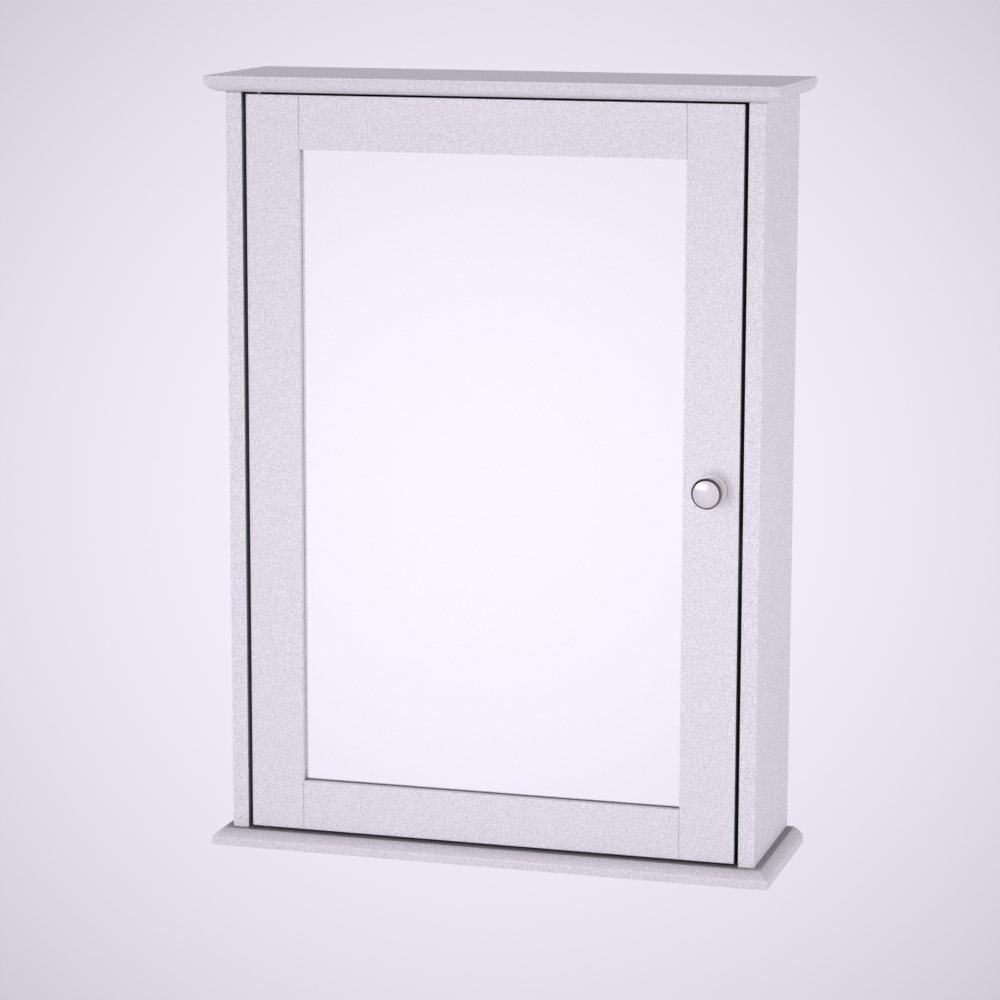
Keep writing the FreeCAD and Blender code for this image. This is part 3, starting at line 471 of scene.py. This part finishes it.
def frame_paint():
    """Paint of the door frame, with a hairline in it along each joint of stile and rail: darker where
    abs(abs(x) - joint) < 0.3 mm and the height is outside the mirror's opening."""
    made = paint("White paint on the door frame", **PLAIN_GAP_SHADE, coarse=1.2)
    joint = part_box("rail_top")[1].x
    top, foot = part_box("rail_top")[0].z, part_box("rail_bottom")[1].z

    def amount(tree, axes):
        across = math_node(tree, "SUBTRACT", math_node(tree, "ABSOLUTE", axes["X"]), joint)
        beside = math_node(tree, "LESS_THAN", math_node(tree, "ABSOLUTE", across), 0.3 * MM)
        up = math_node(tree, "ABSOLUTE", math_node(tree, "SUBTRACT", axes["Z"], (top + foot) / 2))
        outside = math_node(tree, "GREATER_THAN", up, (top - foot) / 2)
        return math_node(tree, "MULTIPLY", math_node(tree, "MULTIPLY", beside, outside), -0.24)

    dim_by_place(made, amount)
    return made


def plated_steel():
    """Zinc-plated steel of the screws, pins and plates."""
    look = bpy.context.scene.cabinet_finish
    return grouped_finish("Plated steel", "Worked metal",
                          {"Colour": (*look.steel, 1), "Gloss": 0.34, "Streaks": 0.12},
                          bump=0.15, relief=0.02 * MM, Metallic=1.0)


def cast_zinc():
    """Grey cast zinc of the cams."""
    return grouped_finish("Cast zinc", "Worked metal",
                          {"Colour": (0.42, 0.43, 0.45, 1), "Gloss": 0.5, "Streaks": 0.05},
                          bump=0.4, relief=0.05 * MM, Metallic=1.0)


def beech():
    """Beech of the dowels, with its grain."""
    look = bpy.context.scene.cabinet_finish
    return grouped_finish("Beech", "Fibre",
                          {"Colour": (*look.beech, 1), "Draw": (0.15, 1.0, 1.0), "Contrast": 0.5},
                          bump=0.3, relief=0.1 * MM)


def moulded_plastic(name, colour, rough):
    """Moulded plastic with a faint grain from its mould."""
    return grouped_finish(name, "Sprayed paint",
                          {"Colour": (*colour, 1), "Mottle": 0.02, "Speckle": 0.05,
                           "Grains to the metre": 2400.0, "Gloss": rough},
                          bump=0.2, relief=0.05 * MM, Subsurface_Weight=0.05)


def give(finish, *nodes):
    """Puts the finish on those CAD nodes."""
    for node in nodes:
        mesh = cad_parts[node].data
        mesh.materials.clear()
        mesh.materials.append(finish)


# Meshes.

def grid_mesh(name, points, finish):
    """A mesh from a grid of points (rows, columns, 3), closed round the columns. Point (i, j) joins its
    neighbours (i+1, j) and (i, j+1) in four-sided faces. Points that coincide are merged, the two ends
    are closed by their poles, and normals are turned outwards."""
    rows, columns = points.shape[:2]
    index = np.arange(rows * columns).reshape(rows, columns)
    nearer, further = index[:-1], index[1:]
    faces = np.stack([nearer, np.roll(nearer, -1, 1), np.roll(further, -1, 1), further], -1)
    mesh = bpy.data.meshes.new(name)
    mesh.from_pydata(points.reshape(-1, 3), [], faces.reshape(-1, 4))
    shape = bmesh.new()
    shape.from_mesh(mesh)
    bmesh.ops.remove_doubles(shape, verts=shape.verts, dist=1e-7)
    bmesh.ops.recalc_face_normals(shape, faces=shape.faces)
    shape.to_mesh(mesh)
    shape.free()
    mesh.materials.append(finish)
    mesh.shade_smooth()
    mesh.set_sharp_from_angle(angle=SMOOTH_BELOW)
    made = bpy.data.objects.new(name, mesh)
    bpy.context.scene.collection.objects.link(made)
    return made


def turned_points(profile, centre, steps):
    """A turned form about an axis along Y through the centre. The profile's rows are radius and height in
    front of the door: point(h, t) = centre + (r cos t, -h, r sin t)."""
    turn = np.linspace(0.0, 2.0 * np.pi, steps, endpoint=False)
    radius, height = profile[:, :1], profile[:, 1:]
    return np.stack([centre[0] + radius * np.cos(turn), centre[1] - height + 0.0 * turn,
                     centre[2] + radius * np.sin(turn)], -1)


def arc_points(start, bulge, end, count):
    """The circle's arc from start through bulge to end: the centre solves equal distances to all three,
    and the angle runs evenly between the ends."""
    start, bulge, end = (np.array(p, float) for p in (start, bulge, end))
    matrix = 2.0 * np.array([bulge - start, end - start])
    centre = np.linalg.solve(matrix, np.array([bulge @ bulge - start @ start, end @ end - start @ start]))
    first, middle, last = (math.atan2(*(p - centre)[::-1]) for p in (start, bulge, end))
    middle = first + (middle - first + math.pi) % (2 * math.pi) - math.pi
    last = middle + (last - middle + math.pi) % (2 * math.pi) - math.pi
    angle = np.linspace(first, last, count)
    radius = np.linalg.norm(start - centre)
    return centre + radius * np.stack([np.cos(angle), np.sin(angle)], -1)


def smooth_curve(knots, count):
    """A smooth curve through the knots: on each span, the cubic whose slope at a knot is half the step
    from the knot before it to the knot after it."""
    knots = np.array(knots, float)
    slope = np.gradient(knots, axis=0)
    span = np.linspace(0.0, len(knots) - 1.0, count)
    at = np.minimum(span.astype(int), len(knots) - 2)
    s = (span - at)[:, None]
    return ((2 * s**3 - 3 * s**2 + 1) * knots[at] + (s**3 - 2 * s**2 + s) * slope[at]
            + (3 * s**2 - 2 * s**3) * knots[at + 1] + (s**3 - s**2) * slope[at + 1])


class CABINET_OT_boards(bpy.types.Operator):
    """Paint the moulded top and base boards"""
    bl_idname = "cabinet.boards"
    bl_label = "Top and base boards"

    def execute(self, context):
        give(cornice_paint(), "top_board")
        give(base_paint(), "base_board")
        return {"FINISHED"}


class CABINET_OT_carcass(bpy.types.Operator):
    """Paint the side panels, the shelves and the hanging rail"""
    bl_idname = "cabinet.carcass"
    bl_label = "Side panels, shelves and rail"

    def execute(self, context):
        give(side_paint(), "side_panel_left", "side_panel_right")
        give(board_paint(), "shelf_upper", "shelf_lower", "hanging_rail")
        return {"FINISHED"}


def back_panel_finish():
    """Hardboard: painted white on the face towards the room, bare brown fibre on the wall side."""
    look = bpy.context.scene.cabinet_finish
    made, tree, shader = start_finish("Hardboard back")
    position = object_position(tree)
    fibre = add_node(tree, "ShaderNodeGroup",
                     {"Colour": (*look.hardboard, 1), "Draw": (1.0, 1.0, 1.0), "Contrast": 0.7},
                     node_tree=get_group("Fibre"))
    colour_layer = add_node(tree, "ShaderNodeGroup", {"Colour": (*look.paint, 1), "Speckle": 0.1},
                    node_tree=get_group("Sprayed paint"))
    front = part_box("back_panel")[0].y
    painted = math_node(tree, "LESS_THAN", axes_of(tree, position)["Y"], front + 0.1 * MM)
    mix = add_node(tree, "ShaderNodeMix", data_type="RGBA")
    bump = add_node(tree, "ShaderNodeBump", {"Strength": 0.4, "Distance": 0.1 * MM})
    join(tree, (position, fibre.inputs["Position"]), (position, colour_layer.inputs["Position"]),
         (painted, mix.inputs["Factor"]),
         (fibre.outputs["Colour"], mix.inputs["A"]), (colour_layer.outputs["Colour"], mix.inputs["B"]),
         (mix.outputs["Result"], shader.inputs["Base Color"]),
         (fibre.outputs["Roughness"], shader.inputs["Roughness"]),
         (fibre.outputs["Height"], bump.inputs["Height"]), (bump.outputs[0], shader.inputs["Normal"]))
    return made


class CABINET_OT_back(bpy.types.Operator):
    """Finish the hardboard back"""
    bl_idname = "cabinet.back"
    bl_label = "Back panel"

    def execute(self, context):
        give(back_panel_finish(), "back_panel")
        return {"FINISHED"}


class CABINET_OT_door_frame(bpy.types.Operator):
    """Paint the stiles and rails of the door"""
    bl_idname = "cabinet.door_frame"
    bl_label = "Door frame"

    def execute(self, context):
        give(frame_paint(), *PAINTED_DOOR)
        return {"FINISHED"}


def mirror_finish():
    """Silvered glass: a mirror seen through its front, and green glass at its ground edges."""
    look = bpy.context.scene.cabinet_finish
    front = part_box("mirror_glass")[0].y
    made, tree, shader = start_finish("Silvered glass", Coat_Weight=0.3, Coat_Roughness=0.02)
    position = object_position(tree)
    silvered = math_node(tree, "LESS_THAN", axes_of(tree, position)["Y"], front + 0.02 * MM)
    haze = noise(tree, position, 900.0, 2.0)
    mix = add_node(tree, "ShaderNodeMix", data_type="RGBA")
    mix.inputs["A"].default_value = GLASS_EDGE
    tone = add_node(tree, "ShaderNodeRGB")
    tone.outputs[0].default_value = (*look.silver, 1)
    join(tree, (silvered, mix.inputs["Factor"]),
         (shade(tree, tone.outputs[0], signed(tree, haze, 0.04)), mix.inputs["B"]),
         (mix.outputs["Result"], shader.inputs["Base Color"]),
         (silvered, shader.inputs["Metallic"]),
         (math_node(tree, "ADD", 0.012, signed(tree, haze, 0.01)), shader.inputs["Roughness"]))
    return made


class CABINET_OT_mirror(bpy.types.Operator):
    """Finish the mirror, its setting strip, pad, back board and turn clips"""
    bl_idname = "cabinet.mirror"
    bl_label = "Mirror and its fixings"

    def execute(self, context):
        look = context.scene.cabinet_finish
        give(mirror_finish(), "mirror_glass")
        # the setting strip is dark as painted shade along the mirror's foot
        give(grouped_finish("Setting strip", "Sprayed paint",
                            {"Colour": (*look.strip, 1), "Speckle": 0.4, "Gloss": 0.45},
                            bump=0.3, relief=0.1 * MM),
             "mirror_setting_strip")
        give(grouped_finish("Grey foam", "Fibre",
                            {"Colour": (0.32, 0.32, 0.34, 1), "Draw": (1.0, 1.0, 1.0),
                             "Fibres to the metre": 1500.0, "Contrast": 1.1}, bump=0.8, relief=0.4 * MM),
             "mirror_pad")
        give(grouped_finish("Hardboard", "Fibre",
                            {"Colour": (*look.hardboard, 1), "Draw": (1.0, 1.0, 1.0), "Contrast": 0.7},
                            bump=0.5, relief=0.1 * MM),
             "mirror_back_board")
        give(plated_steel(), *MIRROR_STEEL)
        return {"FINISHED"}


def nickel_finish(centre):
    """Satin nickel, turned on a lathe: fine rings about the knob's axis over a worked metal. The rim round
    the domed face is painted dark as a painted reflection, with painted light making it paler towards its
    lower
    right: rim colour = nickel x (0.05 + 0.3 x how far the point lies that way, about 0 to 1)."""
    look = bpy.context.scene.cabinet_finish
    made, tree, shader = start_finish("Satin nickel", Metallic=1.0)
    position = object_position(tree)
    moved = add_node(tree, "ShaderNodeMapping", {"Location": (-centre[0], -centre[1], -centre[2])})
    flat = add_node(tree, "ShaderNodeVectorMath", {1: (1.0, 0.0, 1.0)}, operation="MULTIPLY")
    far = add_node(tree, "ShaderNodeVectorMath", operation="LENGTH")
    rings = add_node(tree, "ShaderNodeTexNoise", {"Scale": 5200.0, "Detail": 1.0}, noise_dimensions="1D")
    effect = add_node(tree, "ShaderNodeGroup",
                      {"Colour": (*look.nickel, 1), "Gloss": 0.32, "Streaks": 0.04},
                      node_tree=get_group("Worked metal"))
    bump = add_node(tree, "ShaderNodeBump", {"Strength": 0.12, "Distance": 0.02 * MM})
    axes = axes_of(tree, moved.outputs[0])
    # painted dark reflection on the rim, with painted light towards its lower right
    rim = math_node(tree, "MULTIPLY",
                    math_node(tree, "GREATER_THAN", far.outputs["Value"], RIM_INSIDE),
                    math_node(tree, "LESS_THAN", axes["Y"], -RIM_HEIGHT))
    rightward = math_node(tree, "SUBTRACT", axes["X"], axes["Z"])
    lit_lower_right = math_node(tree, "ADD", 0.5, math_node(tree, "MULTIPLY", 32.0, rightward))
    rim_painted_dark = math_node(tree, "SUBTRACT", math_node(tree, "MULTIPLY", lit_lower_right, 0.3), 0.95)
    join(tree, (position, moved.inputs["Vector"]), (moved.outputs[0], flat.inputs[0]),
         (flat.outputs[0], far.inputs[0]), (far.outputs["Value"], rings.inputs["W"]),
         (position, effect.inputs["Position"]),
         (shade(tree, effect.outputs["Colour"], math_node(tree, "MULTIPLY", rim, rim_painted_dark)),
          shader.inputs["Base Color"]),
         (effect.outputs["Roughness"], shader.inputs["Roughness"]),
         (rings.outputs["Fac"], bump.inputs["Height"]), (bump.outputs[0], shader.inputs["Normal"]))
    return made


def knob_head_profile(groove):
    """Radius and height of the knob's head: a foot, a waisted neck that flares, a rounded rim, a groove
    and a shallow dome. Arcs join the flat runs, so no edge is left dead sharp."""
    neck = smooth_curve([(6.3, 2.2), (5.1, 4.6), (4.8, 7.5), (5.3, 10.2), (7.2, 12.9), (10.4, 15.3)], 40)
    rim = arc_points((10.6, 15.5), (11.2, 16.55), (10.6, 17.6), 14)
    lip = arc_points((10.5, 17.65), (10.2, 17.6), (10.05, 17.3), 6)
    floor = np.array([(9.98, 17.6 - groove / MM), (9.78, 17.6 - groove / MM)])
    edge = arc_points((9.72, 18.2), (9.66, 18.5), (9.4, 18.85), 6)
    face = arc_points((9.3, 18.9), (4.9, 20.95), (0.0, 21.59), 24)
    foot = np.array([(0.0, 2.2), (6.1, 2.2)])
    return np.vstack([foot, neck, rim, lip, floor, edge, face]) * MM


def knob_rose_profile():
    """Radius and height of the rose: a flat disc, rounded at its front edge, with a quirk at the neck."""
    edge = arc_points((11.2, 1.0), (10.85, 1.85), (10.0, 2.2), 12)
    back = [(0.0, 0.0), (11.05, 0.0), (11.2, 0.15)]
    quirk = [(7.1, 2.2), (6.9, 2.05), (0.0, 2.05)]
    return np.vstack([back, edge, quirk]) * MM


class CABINET_OT_knob(bpy.types.Operator):
    """Turn the knob's head and rose"""
    bl_idname = "cabinet.knob"
    bl_label = "Knob"

    def execute(self, context):
        sizes = context.scene.cabinet_knob
        low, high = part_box("knob_rose")
        centre = Vector(((low.x + high.x) / 2, high.y, (low.z + high.z) / 2))
        nickel = nickel_finish(centre)
        for name, node, profile in (("turned_knob_head", "knob_head", knob_head_profile(sizes.groove)),
                                    ("turned_knob_rose", "knob_rose", knob_rose_profile())):
            piece = grid_mesh(name, turned_points(profile, centre, sizes.steps), nickel)
            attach(piece, "door")
            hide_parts(node)
        give(plated_steel(), "knob_screw")
        return {"FINISHED"}


class CABINET_OT_pivots(bpy.types.Operator):
    """Finish the door's pivot pins and bushes"""
    bl_idname = "cabinet.pivots"
    bl_label = "Pivots"

    def execute(self, context):
        give(plated_steel(), "pivot_pin_upper", "pivot_pin_lower")
        give(moulded_plastic("Nylon", (0.80, 0.80, 0.76), 0.45), "pivot_bush_upper", "pivot_bush_lower")
        return {"FINISHED"}


class CABINET_OT_catch(bpy.types.Operator):
    """Finish the magnetic catch and its strike plate"""
    bl_idname = "cabinet.catch"
    bl_label = "Magnetic catch"

    def execute(self, context):
        give(moulded_plastic("White plastic", (0.83, 0.83, 0.82), 0.35), "catch_housing")
        give(grouped_finish("Ferrite", "Fibre",
                            {"Colour": (0.035, 0.034, 0.034, 1), "Draw": (1.0, 1.0, 1.0), "Contrast": 0.5},
                            bump=0.5, relief=0.1 * MM),
             "catch_magnet")
        give(plated_steel(), *CATCH_STEEL)
        return {"FINISHED"}


class CABINET_OT_fittings(bpy.types.Operator):
    """Finish the dowels, cams, cam bolts, shelf pins and panel pins"""
    bl_idname = "cabinet.fittings"
    bl_label = "Dowels, cams and pins"

    def execute(self, context):
        give(beech(), *DOWELS)
        give(cast_zinc(), "cam_locks")
        give(plated_steel(), *SMALL_STEEL)
        return {"FINISHED"}


# Studio.

def backdrop_finish(middle, behind, ahead):
    """A pale seamless backdrop that glows, brightest in two painted pools of light: one behind the cabinet
    and one in front of it. With c the cosine between a point's direction from the middle and a pool's, a
    pool's brightness is peak - fall x (1 - c). Away from them the wall glows 0.74 bright at the sides,
    0.16 more in front and 0.16 less behind."""
    made = bpy.data.materials.new("Backdrop")
    made.use_nodes = True
    tree = made.node_tree
    tree.nodes.clear()
    tint = bpy.context.scene.cabinet_studio.tint
    away = add_node(tree, "ShaderNodeVectorMath", {1: tuple(middle)}, operation="SUBTRACT")
    unit = add_node(tree, "ShaderNodeVectorMath", operation="NORMALIZE")
    join(tree, (object_position(tree), away.inputs[0]), (away.outputs[0], unit.inputs[0]))
    side = add_node(tree, "ShaderNodeVectorMath", {1: (0.0, -0.16, 0.0)}, operation="DOT_PRODUCT")
    join(tree, (unit.outputs[0], side.inputs[0]))
    level = math_node(tree, "ADD", 0.74, side.outputs["Value"])
    blend = 0.08
    for direction, peak, fall in ((behind, 0.943, 7.5), (ahead, 1.024, 12.0)):
        dot = add_node(tree, "ShaderNodeVectorMath", {1: tuple(direction)}, operation="DOT_PRODUCT")
        join(tree, (unit.outputs[0], dot.inputs[0]))
        drop = math_node(tree, "MULTIPLY", math_node(tree, "SUBTRACT", 1.0, dot.outputs["Value"]), fall)
        level = math_node(tree, "SMOOTH_MAX", level, math_node(tree, "SUBTRACT", peak, drop), blend)
    glow = add_node(tree, "ShaderNodeEmission", {"Color": (*tint, 1)})
    end = add_node(tree, "ShaderNodeOutputMaterial")
    join(tree, (level, glow.inputs["Strength"]), (glow.outputs[0], end.inputs["Surface"]))
    return made


def backdrop_points(floor, top, radius, cove, steps):
    """A round studio about the Z axis: a flat floor, a quarter-circle cove, an upright wall and a flat
    top with the same cove. point(s, t) = (r(s) cos t, r(s) sin t, z(s))."""
    turn = np.linspace(0.0, 2.0 * np.pi, steps, endpoint=False)
    bend = np.linspace(0.0, np.pi / 2, 16)
    low = np.stack([radius - cove + cove * np.sin(bend), floor + cove - cove * np.cos(bend)], -1)
    high = np.stack([low[:, 0], floor + top - low[:, 1]], -1)[::-1]
    profile = np.vstack([[(0.0, floor)], low, high, [(0.0, top)]])
    around, up = profile[:, :1], profile[:, 1:]
    return np.stack([around * np.cos(turn), around * np.sin(turn), up + 0.0 * turn], -1)


def soft_box(name, place, target, size, power, glossy, tint):
    """A soft box at a place, aimed at a target. One that isn't glossy leaves no reflection."""
    data = bpy.data.lights.new(name, "AREA")
    data.shape = "RECTANGLE"
    data.size, data.size_y = size
    data.energy = power
    data.color = tint
    lamp = bpy.data.objects.new(name, data)
    lamp.location = place
    lamp.rotation_euler = (Vector(target) - Vector(place)).to_track_quat("-Z", "Y").to_euler()
    lamp.visible_camera = False
    lamp.visible_glossy = glossy
    bpy.context.scene.collection.objects.link(lamp)
    return lamp


def surround_light(strength, lean, tint):
    """Even light from all round that leans one way: brightness = strength + lean . direction."""
    world = bpy.data.worlds.new("Studio")
    bpy.context.scene.world = world
    world.use_nodes = True
    tree = world.node_tree
    back = tree.nodes["Background"]
    back.inputs["Color"].default_value = (*tint, 1)
    dot = add_node(tree, "ShaderNodeVectorMath", {1: tuple(lean)}, operation="DOT_PRODUCT")
    join(tree, (add_node(tree, "ShaderNodeTexCoord").outputs["Generated"], dot.inputs[0]),
         (math_node(tree, "ADD", strength, dot.outputs["Value"]), back.inputs["Strength"]))


class CABINET_OT_studio(bpy.types.Operator):
    """Set up the round pale studio, its lights and the camera"""
    bl_idname = "cabinet.studio"
    bl_label = "Studio"

    def execute(self, context):
        studio = context.scene.cabinet_studio
        low, high = CAD_BOX
        middle = (low + high) / 2
        forward = Vector((-math.sin(studio.yaw) * math.cos(studio.pitch),
                          math.cos(studio.yaw) * math.cos(studio.pitch), -math.sin(studio.pitch)))
        mirrored = Vector((forward.x, -forward.y, forward.z))
        shell = backdrop_points(floor=-3.2, top=4.2, radius=6.0, cove=1.6, steps=96)
        room = grid_mesh("studio_floor_and_wall", shell, backdrop_finish(middle, forward, mirrored))
        # the glowing backdrop with its painted pools of light is seen by the camera and in reflections
        # only
        room.visible_diffuse = False
        room.visible_shadow = False
        surround_light(studio.surround, lean=(-0.06, 0.15, -0.12), tint=studio.tint)
        door_middle = Vector((0.0, -0.12, -0.30))
        for name, place, target, size, power, glossy in (
                ("key_soft_box", (-1.1, -1.7, 0.8), middle, (2.4, 0.8), studio.key, True),
                ("front_soft_box", (0.0, -0.95, -0.30), door_middle, (0.5, 0.5), studio.front, False),
                ("side_soft_box", (1.0, -0.2, -0.25), middle, (0.3, 0.4), studio.side, False),
                ("top_soft_box", (0.0, 0.2, 1.4), middle, (0.5, 0.3), studio.top, False)):
            soft_box(name, place, target, size, power, glossy, studio.tint)
        camera = bpy.data.objects.new("camera", bpy.data.cameras.new("camera"))
        camera.data.lens = studio.focal
        camera.data.sensor_width = 36.0
        turn = forward.to_track_quat("-Z", "Y").to_matrix() @ Matrix.Rotation(studio.roll, 3, "Z")
        camera.matrix_world = Matrix.Translation(studio.place) @ turn.to_4x4()
        context.scene.collection.objects.link(camera)
        context.scene.camera = camera
        context.scene.view_settings.view_transform = "Standard"
        return {"FINISHED"}


OPERATORS = (CABINET_OT_boards, CABINET_OT_carcass, CABINET_OT_back, CABINET_OT_door_frame,
             CABINET_OT_mirror, CABINET_OT_knob, CABINET_OT_pivots, CABINET_OT_catch,
             CABINET_OT_fittings, CABINET_OT_studio)
SETTINGS = {"cabinet_finish": CabinetFinish, "cabinet_knob": CabinetKnob, "cabinet_studio": CabinetStudio}


class CABINET_PT_panel(bpy.types.Panel):
    """Lists the cabinet's pieces and settings"""
    bl_label = "Mirrored wall cabinet"
    bl_idname = "CABINET_PT_panel"
    bl_space_type = "VIEW_3D"
    bl_region_type = "UI"
    bl_category = "Cabinet"

    def draw(self, context):
        for name, group in SETTINGS.items():
            box = self.layout.box()
            for label in group.__annotations__:
                box.prop(getattr(context.scene, name), label)
        for operator in OPERATORS:
            self.layout.operator(operator.bl_idname)


def register():
    """Registers the settings, the operators and the panel."""
    for name, group in SETTINGS.items():
        bpy.utils.register_class(group)
        setattr(bpy.types.Scene, name, bpy.props.PointerProperty(type=group))
    for made in (*OPERATORS, CABINET_PT_panel):
        bpy.utils.register_class(made)


def unregister():
    """Takes the panel, the operators and the settings away again."""
    for made in (CABINET_PT_panel, *reversed(OPERATORS)):
        bpy.utils.unregister_class(made)
    for name, group in SETTINGS.items():
        delattr(bpy.types.Scene, name)
        bpy.utils.unregister_class(group)


def main():
    """Builds every piece in order."""
    register()
    for operator in OPERATORS:
        group, name = operator.bl_idname.split(".")
        getattr(getattr(bpy.ops, group), name)()


if __name__ == "__main__":
    main()
